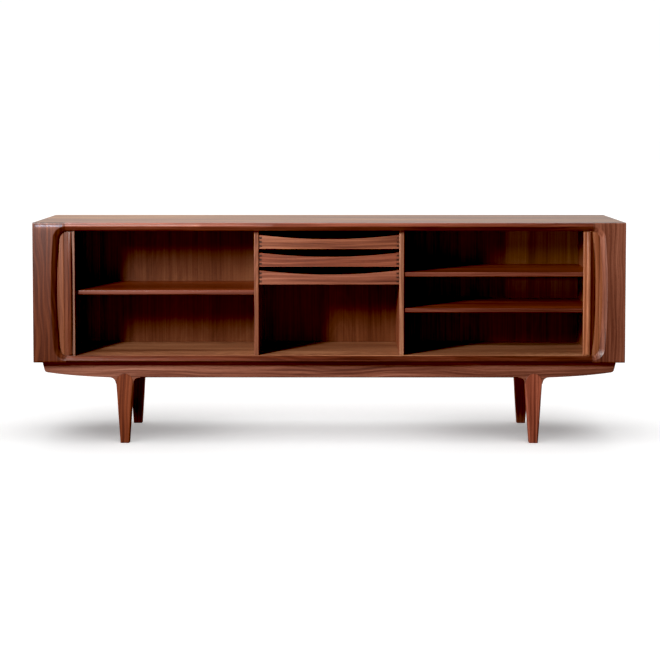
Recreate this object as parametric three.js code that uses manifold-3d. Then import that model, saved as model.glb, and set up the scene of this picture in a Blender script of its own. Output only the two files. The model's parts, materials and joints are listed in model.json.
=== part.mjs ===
// Walnut sideboard with two roll doors, three drawers, three shelves and a separate leg base.
// Millimetres, +Z up. The origin is on the floor under the middle, the front faces -Y.
import * as THREE from 'three';
import * as BufferGeometryUtils from 'three/addons/utils/BufferGeometryUtils.js';
import Module from 'manifold-3d';

const wasm = await Module();
wasm.setup();

// Overall size
const WIDTH = 2200;
const DEPTH = 500;
const HEIGHT = 830;
const LEG_BASE_HEIGHT = 308;
const GAP = 0.3;

// Carcass panels
const SIDE_THICKNESS = 20;
const TOP_THICKNESS = 26;
const BOTTOM_THICKNESS = 22;
const BACK_THICKNESS = 8;

// Front frame: a flat face that falls inwards to a narrower opening
const FRAME_DEPTH = 22;
const FRAME_JOINT_X = 979;
const FACE_OPENING = { halfWidth: 1024, bow: 8.5, bottom: 317, top: 815.6, radius: 46 };
const BACK_OPENING = { halfWidth: 1007, bow: 10, bottom: 331, top: 799, radius: 34 };
const LIP_DEPTH = 20;

// Inner walls, measured from the front plane where they are depths
const INNER_FRONT = 50;
const INNER_BACK = 408;
const INNER_SIDE_X = 984;
const INNER_SIDE_THICKNESS = 12;
const DIVIDER_X = 272;
const DIVIDER_THICKNESS = 18;
const SHELF_THICKNESS = 16.5;
const SHELF_SETBACK = 5;
const CLEAT = { width: 10, height: 12, front: 95, back: 395 };
const SHELVES = [
  { name: 'left_shelf', side: -1, top: 573 },
  { name: 'right_upper_shelf', side: 1, top: 641 },
  { name: 'right_lower_shelf', side: 1, top: 506 },
];

// Track that the roll doors follow: front, round the corner, side, round again, back
const TRACK = { front: 27.8, back: 484, side: 1076, width: 12.7, depth: 8, radius: 50.6 };

// Roll doors, shown open
const DOOR_LEADING_X = 948;
const SLAT_PITCH = 18.5;
const SLAT_THICKNESS = 8.6;
const SLAT_SPACE = 0.7;
const CANVAS_THICKNESS = 1.2;
const CURTAIN_FRONT = 29.2;
const CURTAIN_SLATS = 52;
const LEAD_SLATS = 2;
const HANDLE = { width: 40, bar: 29, front: 15, groove: 3.4, grooveAt: 11.5, scoop: 6, clear: 4 };

// Drawers, from the top down
const DRAWER = {
  count: 3, top: 781, pitch: 66.6, height: 53, scoop: 16, front: 18, side: 10, back: 12,
  bottom: 6, depth: 345, clearance: 1, setback: 5, fingers: 7, backHeight: 38,
};
const RUNNER = { reach: 6, height: 10, slack: 0.7, start: 75, end: 400 };

// Leg base
const RAIL = { recess: 35, thickness: 28, bottom: 247, endBottom: 269, endX: 1073, endTaper: 10 };
const LEG = { x: 766, foot: 34, kneeZ: 110, knee: 49, shoulderZ: 225, shoulder: 62, top: 262 };
const LEG_DEPTH = { knee: 40, shoulder: 45 };
const FILLET = 27;
const CROSS_RAIL = { thickness: 28, bottom: 262 };

const walnut = (name, colour, roughness = 0.5) => {
  const material = new THREE.MeshStandardMaterial({ color: colour, roughness, metalness: 0 });
  material.name = name;
  return material;
};

const sideboard = new THREE.Group();
sideboard.name = 'sideboard';

function add(name, geometry, colour, roughness) {
  const mesh = new THREE.Mesh(geometry, walnut(name, colour, roughness));
  mesh.name = name;
  sideboard.add(mesh);
}

// A distance behind the front plane as a Y coordinate
const behind = (distance) => distance - DEPTH / 2;

// Geometry helpers

function box(x, y, z) {
  const geometry = new THREE.BoxGeometry(x[1] - x[0], y[1] - y[0], z[1] - z[0]);
  return geometry.translate((x[0] + x[1]) / 2, (y[0] + y[1]) / 2, (z[0] + z[1]) / 2);
}

function outline(points) {
  return new THREE.Shape(points.map(([u, v]) => new THREE.Vector2(u, v)));
}

const extruded = (shape, depth) =>
  new THREE.ExtrudeGeometry(shape, { depth, bevelEnabled: false, curveSegments: 12 });

// Outline in X and Z, pushed along Y
function extrudeAlongY(shape, y) {
  return extruded(shape, y[1] - y[0]).rotateX(Math.PI / 2).translate(0, y[1], 0);
}

// Outline in Y and Z, pushed along X
function extrudeAlongX(shape, x) {
  const turn = new THREE.Matrix4().makeBasis(
    new THREE.Vector3(0, 1, 0), new THREE.Vector3(0, 0, 1), new THREE.Vector3(1, 0, 0));
  return extruded(shape, x[1] - x[0]).applyMatrix4(turn).translate(x[0], 0, 0);
}

// Outline in X and Y, pushed along Z
function extrudeAlongZ(shape, z) {
  return extruded(shape, z[1] - z[0]).translate(0, 0, z[0]);
}

// Closed skin over rings of equal count, each given as [x, y, z] points round a common centre
function loft(rings) {
  const count = rings[0].length;
  const positions = rings.flat(2);
  const index = [];
  for (let r = 0; r < rings.length - 1; r += 1) {
    for (let i = 0; i < count; i += 1) {
      const a = r * count + i;
      const b = r * count + (i + 1) % count;
      index.push(a, b, b + count, a, b + count, a + count);
    }
  }
  const last = (rings.length - 1) * count;
  for (let i = 1; i < count - 1; i += 1) {
    index.push(0, i + 1, i);
    index.push(last, last + i, last + i + 1);
  }
  const geometry = new THREE.BufferGeometry();
  geometry.setAttribute('position', new THREE.Float32BufferAttribute(positions, 3));
  geometry.setIndex(index);
  return geometry;
}

// The same geometry on the other side of the X = 0 plane
function mirrored(geometry) {
  const copy = geometry.clone().scale(-1, 1, 1);
  const corners = copy.index ? copy.index.array : Array(copy.attributes.position.count).keys();
  copy.setIndex([...corners].reverse());
  return copy;
}

const onSide = (side, geometry) => (side < 0 ? mirrored(geometry) : geometry);

function solid(geometry) {
  const bare = geometry.clone();
  bare.deleteAttribute('normal');
  bare.deleteAttribute('uv');
  const merged = BufferGeometryUtils.mergeVertices(bare, 1e-4);
  return new wasm.Manifold(new wasm.Mesh({
    numProp: 3,
    vertProperties: Float32Array.from(merged.attributes.position.array),
    triVerts: Uint32Array.from(merged.index.array),
  }));
}

function shell(manifold) {
  const mesh = manifold.getMesh();
  const geometry = new THREE.BufferGeometry();
  geometry.setAttribute('position', new THREE.Float32BufferAttribute(mesh.vertProperties, 3));
  geometry.setIndex([...mesh.triVerts]);
  return geometry;
}

const joined = (...geometries) =>
  shell(geometries.map(solid).reduce((whole, piece) => whole.add(piece)));

const cut = (geometry, ...tools) =>
  shell(tools.map(solid).reduce((rest, tool) => rest.subtract(tool), solid(geometry)));

// Carcass: mitred box with the door track cut into its top and bottom

const CARCASS_BOTTOM = LEG_BASE_HEIGHT;
const FLOOR = CARCASS_BOTTOM + BOTTOM_THICKNESS;
const CEILING = HEIGHT - TOP_THICKNESS;
const SIDE_X = WIDTH / 2;
const SIDE_INNER_X = SIDE_X - SIDE_THICKNESS;
const PANEL_Y = [behind(FRAME_DEPTH + GAP), behind(DEPTH)];
const INNER_Z = [FLOOR + GAP, CEILING - GAP];

function roundedRectangle(x, y, radius, path = new THREE.Shape()) {
  path.moveTo(x - radius, y[0]);
  path.absarc(x - radius, y[0] + radius, radius, -Math.PI / 2, 0);
  path.absarc(x - radius, y[1] - radius, radius, 0, Math.PI / 2);
  path.absarc(-x + radius, y[1] - radius, radius, Math.PI / 2, Math.PI);
  path.absarc(-x + radius, y[0] + radius, radius, Math.PI, 3 * Math.PI / 2);
  return path;
}

function trackCutter(z) {
  const { front, back, side, width, radius } = TRACK;
  const ring = roundedRectangle(side, [behind(front), behind(back)], radius);
  ring.holes.push(roundedRectangle(
    side - width, [behind(front + width), behind(back - width)], radius - width, new THREE.Path()));
  return extrudeAlongZ(ring, z);
}

function makeCarcass() {
  const topShape = outline([
    [-SIDE_X + GAP, HEIGHT], [-SIDE_INNER_X + GAP, CEILING],
    [SIDE_INNER_X - GAP, CEILING], [SIDE_X - GAP, HEIGHT],
  ]);
  const bottomShape = outline([
    [-SIDE_X + GAP, CARCASS_BOTTOM], [SIDE_X - GAP, CARCASS_BOTTOM],
    [SIDE_INNER_X - GAP, FLOOR], [-SIDE_INNER_X + GAP, FLOOR],
  ]);
  const sideShape = outline([
    [SIDE_X, CARCASS_BOTTOM], [SIDE_X, HEIGHT], [SIDE_INNER_X, CEILING], [SIDE_INNER_X, FLOOR],
  ]);
  const topTrack = trackCutter([CEILING - 1, CEILING + TRACK.depth]);
  const bottomTrack = trackCutter([FLOOR - TRACK.depth, FLOOR + 1]);
  add('top_panel', cut(extrudeAlongY(topShape, PANEL_Y), topTrack), 0x7a4a32, 0.38);
  add('bottom_panel', cut(extrudeAlongY(bottomShape, PANEL_Y), bottomTrack), 0x6f4330);
  const sidePanel = extrudeAlongY(sideShape, PANEL_Y);
  add('left_side_panel', mirrored(sidePanel), 0x6b3f2b);
  add('right_side_panel', sidePanel, 0x6b3f2b);
  const backX = SIDE_INNER_X - GAP;
  add('back_panel', box([-backX, backX], [behind(DEPTH - BACK_THICKNESS), behind(DEPTH)], INNER_Z),
    0x5e3a2a);
}

// Front frame: two stiles and two rails round a rounded, slightly bowed opening

const CORNER_STEPS = 8;
const BOW_STEPS = 6;

// Points of the opening, anticlockwise from the lower right corner, seen from the front
function openingRing({ halfWidth, bow, bottom, top, radius }, y) {
  const middle = (top + bottom) / 2;
  const reach = (top - bottom) / 2 - radius;
  const quarter = [];
  for (let i = 0; i < BOW_STEPS; i += 1) {
    const t = i / BOW_STEPS;
    quarter.push([halfWidth + bow * (1 - t * t), reach * t]);
  }
  for (let i = 0; i <= CORNER_STEPS; i += 1) {
    const angle = i / CORNER_STEPS * Math.PI / 2;
    quarter.push([
      halfWidth - radius * (1 - Math.cos(angle)), reach + radius * Math.sin(angle)]);
  }
  const halfUp = [...quarter, ...quarter.toReversed().map(([x, z]) => [-x, z])];
  const halfDown = halfUp.slice(1, -1).map(([x, z]) => [-x, -z]);
  return [...halfUp, ...halfDown].map(([x, z]) => [x, y, middle + z]);
}

// An opening part way between the face and the back; the lip is slightly hollow
function lipOpening(t) {
  const hollow = 1 - (1 - t) ** 1.25;
  return Object.fromEntries(Object.keys(FACE_OPENING).map((key) => [
    key, THREE.MathUtils.lerp(FACE_OPENING[key], BACK_OPENING[key], hollow)]));
}

function makeFrontFrame() {
  const rings = [openingRing(BACK_OPENING, behind(FRAME_DEPTH + 1))];
  for (const t of [1, 0.75, 0.5, 0.25, 0]) {
    rings.push(openingRing(lipOpening(t), behind(t * LIP_DEPTH)));
  }
  rings.push(openingRing(FACE_OPENING, behind(-1)));
  const y = [behind(0), behind(FRAME_DEPTH)];
  const frame = solid(box([-SIDE_X, SIDE_X], y, [CARCASS_BOTTOM, HEIGHT]))
    .subtract(solid(loft(rings)));
  const between = (x, z) => shell(frame.intersect(solid(box(x, [y[0] - 1, y[1] + 1], z))));
  const all = [CARCASS_BOTTOM - 1, HEIGHT + 1];
  const middle = (CARCASS_BOTTOM + HEIGHT) / 2;
  const stile = between([FRAME_JOINT_X + GAP, SIDE_X + 1], all);
  add('left_front_stile', mirrored(stile), 0x6e4430, 0.42);
  add('right_front_stile', stile, 0x6e4430, 0.42);
  const railX = [-FRAME_JOINT_X, FRAME_JOINT_X];
  add('top_front_rail', between(railX, [middle, all[1]]), 0x8a5540, 0.4);
  add('bottom_front_rail', between(railX, [all[0], middle]), 0x7a4a35, 0.4);
}

// Inner walls, dividers and shelves

function makeInterior() {
  const depth = [behind(INNER_FRONT), behind(INNER_BACK - GAP)];
  const outer = INNER_SIDE_X + INNER_SIDE_THICKNESS;
  const backY = [behind(INNER_BACK), behind(INNER_BACK + BACK_THICKNESS)];
  add('inner_back', box([-outer, outer], backY, INNER_Z), 0x5a2f1c);
  for (const [side, word] of [[-1, 'left'], [1, 'right']]) {
    add(`${word}_inner_side`, onSide(side, box([INNER_SIDE_X, outer], depth, INNER_Z)), 0x5f3522);
    const dividerX = [DIVIDER_X - DIVIDER_THICKNESS / 2, DIVIDER_X + DIVIDER_THICKNESS / 2];
    add(`${word}_divider`, onSide(side, box(dividerX, depth, INNER_Z)), 0x8a5a45);
  }
}

function makeShelves() {
  const x = [DIVIDER_X + DIVIDER_THICKNESS / 2 + GAP, INNER_SIDE_X - GAP];
  const y = [behind(INNER_FRONT + SHELF_SETBACK), behind(INNER_BACK - GAP)];
  const cleatY = [behind(CLEAT.front), behind(CLEAT.back)];
  for (const { name, side, top } of SHELVES) {
    const z = [top - SHELF_THICKNESS, top];
    add(name, onSide(side, box(x, y, z)), 0x8f6252);
    const cleatZ = [z[0] - GAP - CLEAT.height, z[0] - GAP];
    const inner = onSide(side, box([x[0], x[0] + CLEAT.width], cleatY, cleatZ));
    const outer = onSide(side, box([x[1] - CLEAT.width, x[1]], cleatY, cleatZ));
    add(`${name}_inner_cleat`, inner, 0x5f3522);
    add(`${name}_outer_cleat`, outer, 0x5f3522);
  }
}

// Roll doors: a handle slat, the slats that show beside it, and the curtain stored in the track

const CURTAIN_Z = [FLOOR - TRACK.depth + 1, CEILING + TRACK.depth - 1];
const CANVAS_FRONT = CURTAIN_FRONT + SLAT_THICKNESS;
const CANVAS_BACK = CANVAS_FRONT + CANVAS_THICKNESS;

// Where the face of the canvas is, and which way the slats point, a distance round the track
function trackPoint(distance) {
  const inset = CANVAS_FRONT - TRACK.front;
  const radius = TRACK.radius - inset;
  const cornerX = TRACK.side - TRACK.radius;
  const frontY = behind(TRACK.front + TRACK.radius);
  const backY = behind(TRACK.back - TRACK.radius);
  const quarter = radius * Math.PI / 2;
  const straight = backY - frontY;
  let rest = distance;
  const round = (angle, y) => ({
    point: [cornerX + radius * Math.sin(angle), y - radius * Math.cos(angle)],
    out: [Math.sin(angle), -Math.cos(angle)],
  });
  if (rest < quarter) {
    return round(rest / radius, frontY);
  }
  rest -= quarter;
  if (rest < straight) {
    return { point: [cornerX + radius, frontY + rest], out: [1, 0] };
  }
  rest -= straight;
  if (rest < quarter) {
    return round(Math.PI / 2 + rest / radius, backY);
  }
  rest -= quarter;
  return { point: [cornerX - rest, backY + radius], out: [0, 1] };
}

const moved = ([x, y], [dx, dy], reach) => [x + dx * reach, y + dy * reach];

function storedCurtain() {
  const slats = [];
  const canvas = [];
  for (let i = 0; i < CURTAIN_SLATS; i += 1) {
    const start = i * SLAT_PITCH + SLAT_SPACE;
    const end = (i + 1) * SLAT_PITCH;
    const face = trackPoint((start + end) / 2).out;
    const [a, b] = [trackPoint(start), trackPoint(end)];
    slats.push(a.point, moved(a.point, face, SLAT_THICKNESS));
    slats.push(moved(b.point, face, SLAT_THICKNESS), b.point);
    canvas.push(moved(a.point, a.out, -CANVAS_THICKNESS), moved(b.point, b.out, -CANVAS_THICKNESS));
  }
  return extrudeAlongZ(outline([...slats, ...canvas.toReversed()]), CURTAIN_Z);
}

function leadSlats() {
  const points = [];
  const start = DOOR_LEADING_X + HANDLE.width + GAP;
  for (let i = 0; i < LEAD_SLATS; i += 1) {
    const x = [start + i * SLAT_PITCH, start + (i + 1) * SLAT_PITCH - SLAT_SPACE];
    points.push([x[0], behind(CANVAS_FRONT)], [x[0], behind(CURTAIN_FRONT)]);
    points.push([x[1], behind(CURTAIN_FRONT)], [x[1], behind(CANVAS_FRONT)]);
  }
  const end = points.at(-1)[0];
  points.push([end, behind(CANVAS_BACK)], [start, behind(CANVAS_BACK)]);
  return extrudeAlongZ(outline(points), CURTAIN_Z);
}

// Lead slat with a raised bar, a quirk along the bar and a lens-shaped finger scoop behind it
function doorHandle() {
  const x = DOOR_LEADING_X;
  const tongue = box([x, x + HANDLE.width], [behind(CURTAIN_FRONT), behind(CANVAS_BACK)], CURTAIN_Z);
  const barZ = [BACK_OPENING.bottom + HANDLE.clear, BACK_OPENING.top - HANDLE.clear];
  const bar = box([x, x + HANDLE.bar], [behind(HANDLE.front), behind(CURTAIN_FRONT + 1)], barZ);
  const quirkX = [x + HANDLE.grooveAt, x + HANDLE.grooveAt + HANDLE.groove];
  const quirk = box(quirkX, [behind(HANDLE.front - 1), behind(HANDLE.front + HANDLE.groove)],
    [barZ[0] - 1, barZ[1] + 1]);
  const scoopX = [x + HANDLE.bar - HANDLE.scoop / 2, x + HANDLE.width - HANDLE.clear / 2];
  const reach = (barZ[1] - barZ[0]) / 2 - HANDLE.clear;
  const deepest = CURTAIN_FRONT + HANDLE.scoop;
  const shallow = CURTAIN_FRONT - 1;
  const lens = new THREE.Shape();
  lens.moveTo(behind(shallow), -reach);
  lens.quadraticCurveTo(behind(2 * deepest - shallow), 0, behind(shallow), reach);
  const scoop = extrudeAlongX(lens, scoopX).translate(0, 0, (barZ[0] + barZ[1]) / 2);
  return cut(joined(tongue, bar), quirk, scoop);
}

function makeDoors() {
  for (const [side, word] of [[-1, 'left'], [1, 'right']]) {
    add(`${word}_door_handle`, onSide(side, doorHandle()), 0xa5735a, 0.4);
    add(`${word}_door_lead_slats`, onSide(side, leadSlats()), 0x9a6a50, 0.45);
    add(`${word}_door_curtain`, onSide(side, storedCurtain()), 0x7e523d, 0.5);
  }
}

// Drawers: finger-jointed box with a hollowed front edge, hung on side runners

const DRAWER_HALF = DIVIDER_X - DIVIDER_THICKNESS / 2 - DRAWER.clearance;
const DRAWER_FACE = INNER_FRONT + DRAWER.setback;
const DRAWER_FRONT_Y = [behind(DRAWER_FACE), behind(DRAWER_FACE + DRAWER.front)];
const DRAWER_BACK_Y = behind(INNER_FRONT + DRAWER.depth);
const FINGER = DRAWER.height / DRAWER.fingers;

function fingerSockets(base) {
  const sockets = [];
  const x = [DRAWER_HALF - DRAWER.side - GAP, DRAWER_HALF + 1];
  for (let i = 1; i < DRAWER.fingers; i += 2) {
    const z = [base + i * FINGER - GAP / 2, base + (i + 1) * FINGER + GAP / 2];
    const socket = box(x, [DRAWER_FRONT_Y[0] - 1, DRAWER_FRONT_Y[1] + 1], z);
    sockets.push(socket, mirrored(socket));
  }
  return sockets;
}

function drawerFront(base) {
  const top = base + DRAWER.height;
  const shape = new THREE.Shape();
  shape.moveTo(-DRAWER_HALF, base);
  shape.lineTo(DRAWER_HALF, base);
  shape.lineTo(DRAWER_HALF, top);
  shape.quadraticCurveTo(0, top - 2 * DRAWER.scoop, -DRAWER_HALF, top);
  return cut(extrudeAlongY(shape, DRAWER_FRONT_Y), ...fingerSockets(base));
}

function drawerSide(base) {
  const x = [DRAWER_HALF - DRAWER.side, DRAWER_HALF];
  const bodyY = [DRAWER_FRONT_Y[1] + GAP, DRAWER_BACK_Y];
  const runnerZ = base + (DRAWER.height - RUNNER.height) / 2;
  const grooveX = DRAWER_HALF + DRAWER.clearance - RUNNER.reach - RUNNER.slack;
  const groove = box([grooveX, DRAWER_HALF + 1], [bodyY[0] - 1, bodyY[1] + 1],
    [runnerZ - RUNNER.slack, runnerZ + RUNNER.height + RUNNER.slack]);
  const body = cut(box(x, bodyY, [base, base + DRAWER.height]), groove);
  const fingers = [];
  for (let i = 1; i < DRAWER.fingers; i += 2) {
    const z = [base + i * FINGER + GAP / 2, base + (i + 1) * FINGER - GAP / 2];
    fingers.push(box(x, [DRAWER_FRONT_Y[0], bodyY[0] + 1], z));
  }
  return joined(body, ...fingers);
}

function makeDrawers() {
  const innerX = DRAWER_HALF - DRAWER.side - GAP;
  for (let n = 1; n <= DRAWER.count; n += 1) {
    const base = DRAWER.top - (n - 1) * DRAWER.pitch - DRAWER.height;
    add(`drawer_${n}_front`, drawerFront(base), 0x8a5a48, 0.42);
    add(`drawer_${n}_left_side`, mirrored(drawerSide(base)), 0x7c5140);
    add(`drawer_${n}_right_side`, drawerSide(base), 0x7c5140);
    const bottomZ = [base + 2, base + 2 + DRAWER.bottom];
    const backY = [DRAWER_BACK_Y - DRAWER.back, DRAWER_BACK_Y];
    const backZ = [bottomZ[0], base + DRAWER.backHeight];
    add(`drawer_${n}_back`, box([-innerX, innerX], backY, backZ), 0x7c5140);
    const bottomY = [DRAWER_FRONT_Y[1] + GAP, backY[0] - GAP];
    add(`drawer_${n}_bottom`, box([-innerX, innerX], bottomY, bottomZ), 0x8b6a55);
    const wallX = DRAWER_HALF + DRAWER.clearance;
    const runnerZ = base + (DRAWER.height - RUNNER.height) / 2;
    const runner = box([wallX - RUNNER.reach, wallX - GAP],
      [behind(RUNNER.start), behind(RUNNER.end)], [runnerZ, runnerZ + RUNNER.height]);
    add(`drawer_${n}_left_runner`, mirrored(runner), 0x5f3522);
    add(`drawer_${n}_right_runner`, runner, 0x5f3522);
  }
}

// Leg base: rails that swell down into the legs, tapered legs let into the rails, cross rails

const BASE_TOP = LEG_BASE_HEIGHT - GAP;
const TONGUE_STEPS = 10;

// Half of the front view of a leg's head, from the shoulder up to the middle of its round top
function tongueOutline(grow) {
  const half = LEG.shoulder / 2 + grow;
  const points = [];
  for (let i = 0; i <= TONGUE_STEPS; i += 1) {
    const angle = i / TONGUE_STEPS * Math.PI;
    points.push([LEG.x + half * Math.cos(angle), LEG.top + grow - half * (1 - Math.sin(angle))]);
  }
  return points;
}

function railShape() {
  const half = LEG.shoulder / 2 + GAP;
  const shape = new THREE.Shape();
  const inner = LEG.x - half;
  const outer = LEG.x + half;
  const horn = RAIL.bottom - FILLET + 4;
  shape.moveTo(0, BASE_TOP);
  shape.lineTo(0, RAIL.bottom);
  shape.lineTo(inner - FILLET, RAIL.bottom);
  shape.quadraticCurveTo(inner - 3, RAIL.bottom, inner - 1.5, horn);
  shape.lineTo(inner + 2, horn);
  shape.lineTo(outer - 2, horn);
  shape.lineTo(outer + 1.5, horn);
  shape.quadraticCurveTo(outer + 3, RAIL.bottom, outer + FILLET, RAIL.bottom + 1);
  shape.quadraticCurveTo(
    outer + (RAIL.endX - outer) * 0.6, RAIL.bottom + 6, RAIL.endX - RAIL.endTaper, RAIL.endBottom);
  shape.lineTo(RAIL.endX, BASE_TOP);
  return shape;
}

// A rail along the front or the back; near is its face, far its hidden side
function baseRail(near, far) {
  const y = [Math.min(near, far), Math.max(near, far)];
  const half = extrudeAlongY(railShape(), y);
  const socket = tongueOutline(GAP);
  const depth = [y[0] - 1, y[1] + 1];
  const below = LEG.shoulderZ - FILLET;
  const tool = extrudeAlongY(
    outline([...socket, [socket.at(-1)[0], below], [socket[0][0], below]]), depth);
  const right = solid(half).subtract(solid(tool));
  return shell(right.add(solid(mirrored(shell(right)))));
}

// Leg for the right front corner; the back legs are the same piece turned round
function leg() {
  const front = RAIL.recess;
  const ring = (z, width, depth) => {
    const x = [LEG.x - width / 2, LEG.x + width / 2];
    const y = [behind(front), behind(front + depth)];
    const c = width * 0.14;
    return [
      [x[0] + c, y[0], z], [x[1] - c, y[0], z], [x[1], y[0] + c, z], [x[1], y[1] - c, z],
      [x[1] - c, y[1], z], [x[0] + c, y[1], z], [x[0], y[1] - c, z], [x[0], y[0] + c, z],
    ];
  };
  const shaft = loft([
    ring(0, LEG.foot, LEG.foot),
    ring(LEG.kneeZ, LEG.knee, LEG_DEPTH.knee),
    ring(LEG.shoulderZ, LEG.shoulder, LEG_DEPTH.shoulder),
  ]);
  const tongue = tongueOutline(0);
  const neck = LEG.shoulderZ - 0.01;
  const head = extrudeAlongY(
    outline([...tongue, [tongue.at(-1)[0], neck], [tongue[0][0], neck]]),
    [behind(front), behind(front + LEG_DEPTH.shoulder)]);
  const half = LEG.shoulder / 2 - 1;
  const block = box([LEG.x - half, LEG.x + half],
    [behind(front + RAIL.thickness + GAP), behind(front + LEG_DEPTH.shoulder)],
    [LEG.shoulderZ, BASE_TOP]);
  return joined(shaft, head, block);
}

function makeBase() {
  const faces = [behind(RAIL.recess), behind(RAIL.recess + RAIL.thickness)];
  add('front_base_rail', baseRail(faces[0], faces[1]), 0x7f543f, 0.45);
  add('rear_base_rail', baseRail(-faces[1], -faces[0]), 0x7f543f, 0.45);
  const front = leg();
  const back = leg().rotateZ(Math.PI);
  add('front_left_leg', mirrored(front), 0x6f3c26, 0.45);
  add('front_right_leg', front, 0x6f3c26, 0.45);
  add('rear_left_leg', back, 0x6f3c26, 0.45);
  add('rear_right_leg', mirrored(back), 0x6f3c26, 0.45);
  const reach = DEPTH / 2 - RAIL.recess - LEG_DEPTH.shoulder - GAP;
  const crossX = [LEG.x - CROSS_RAIL.thickness / 2, LEG.x + CROSS_RAIL.thickness / 2];
  const cross = box(crossX, [-reach, reach], [CROSS_RAIL.bottom, BASE_TOP]);
  add('left_cross_rail', mirrored(cross), 0x6f4632);
  add('right_cross_rail', cross, 0x6f4632);
}

makeCarcass();
makeFrontFrame();
makeInterior();
makeShelves();
makeDoors();
makeDrawers();
makeBase();

export default sideboard;
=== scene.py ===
import json
import math

import bmesh
import bpy
from mathutils import Matrix, Vector


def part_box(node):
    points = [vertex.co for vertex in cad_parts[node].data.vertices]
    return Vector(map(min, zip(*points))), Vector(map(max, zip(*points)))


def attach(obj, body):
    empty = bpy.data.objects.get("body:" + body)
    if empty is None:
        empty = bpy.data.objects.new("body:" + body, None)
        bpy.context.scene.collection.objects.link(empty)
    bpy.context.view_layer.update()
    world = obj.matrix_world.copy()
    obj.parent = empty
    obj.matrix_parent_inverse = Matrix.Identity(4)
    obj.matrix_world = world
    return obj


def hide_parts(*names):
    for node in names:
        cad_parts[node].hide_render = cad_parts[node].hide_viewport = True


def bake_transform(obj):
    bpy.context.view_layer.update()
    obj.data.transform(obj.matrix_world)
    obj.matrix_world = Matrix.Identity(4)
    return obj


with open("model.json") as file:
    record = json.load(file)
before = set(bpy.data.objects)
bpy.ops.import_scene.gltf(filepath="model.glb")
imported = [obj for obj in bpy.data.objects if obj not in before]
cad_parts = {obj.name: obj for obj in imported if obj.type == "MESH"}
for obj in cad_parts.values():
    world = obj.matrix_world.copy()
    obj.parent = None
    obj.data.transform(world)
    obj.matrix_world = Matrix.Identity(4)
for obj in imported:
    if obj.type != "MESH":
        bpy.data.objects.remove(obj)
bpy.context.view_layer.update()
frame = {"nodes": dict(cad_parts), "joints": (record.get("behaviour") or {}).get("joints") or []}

# Looks of a walnut sideboard with roll doors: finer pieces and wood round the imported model.
# Lengths are in metres, angles in degrees, light in watts.

SIDES = ((-1, "left"), (1, "right"))
# The gap in a tight joint
JOINT = 0.0003

# Front frame; FRAME_MIDDLE is the depth of an extra row on its straight outer edge
FACE_OPENING = {"half": 1.024, "bow": 0.0085, "bottom": 0.317, "top": 0.8156, "radius": 0.046}
BACK_OPENING = {"half": 1.007, "bow": 0.010, "bottom": 0.331, "top": 0.799, "radius": 0.034}
LIP_DEPTH = 0.020
LIP_EDGE = 0.0014
LIP_HOLLOW = 1.25
FRAME_EDGE = 0.0022
FRAME_MIDDLE = 0.010
TOP_EDGE = 0.0045
BOTTOM_EDGE = 0.0065
RAIL_UNDER_EDGE = 0.0095

# Plain pieces: edge radii, and the depth of the strips on front edges
PANEL_EDGE = 0.0012
VENEER_EDGE = 0.0008
FRONT_EDGE = 0.0032
SMALL_EDGE = 0.0006
DRAWER_SIDE_EDGE = 0.0004
LIPPING = 0.008

# Roll doors
SLAT_PITCH = 0.0185
SLAT_GAP = 0.0007
SLAT_EDGE = 0.0011
STORED_SLATS = 48
CANVAS = 0.0012
STRIP_WIDTH = 0.011
STRIP_RISE = 0.0017
STRIP_EDGE = 0.0018
BAR_Z = (0.3355, 0.7945)
BAR_END = 0.0250
BAR_RISE = 0.0065
BAR_BOW = 0.009
BAR_EDGE = 0.004
BAR_QUIRK = 0.0042
BAR_CROWN = 0.0006
BAR_COVE = 0.0022
HANDLE_EDGE = 0.0009
GATHER = (1.072, 1.026)
TRACK = {"front": 0.0278, "back": 0.484, "side": 1.076, "radius": 0.0506}

# Drawer fronts
FINGERS = 7
DRAWER_SCOOP = 0.016

# Leg base; a row of the leg's profile is (height, width, depth), from the foot up
LEG_X = 0.766
LEG_PROFILE = ((0.0, 0.034, 0.034), (0.110, 0.049, 0.040), (0.225, 0.062, 0.045))
LEG_EDGE = 0.0075
LEG_EDGE_TOP = 0.16
HEAD_EDGE = 0.0022
FOOT_EDGE = 0.0015
HEAD_BLOCK_EDGE = 0.0015
TONGUE_TOP = 0.262
RAIL_BOTTOM = 0.247
RAIL_END_BOTTOM = 0.269
RAIL_END_TAPER = 0.010
RAIL_EDGE = 0.0016
RAIL_CHAMFER = 0.0034
FILLET = 0.027

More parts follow.
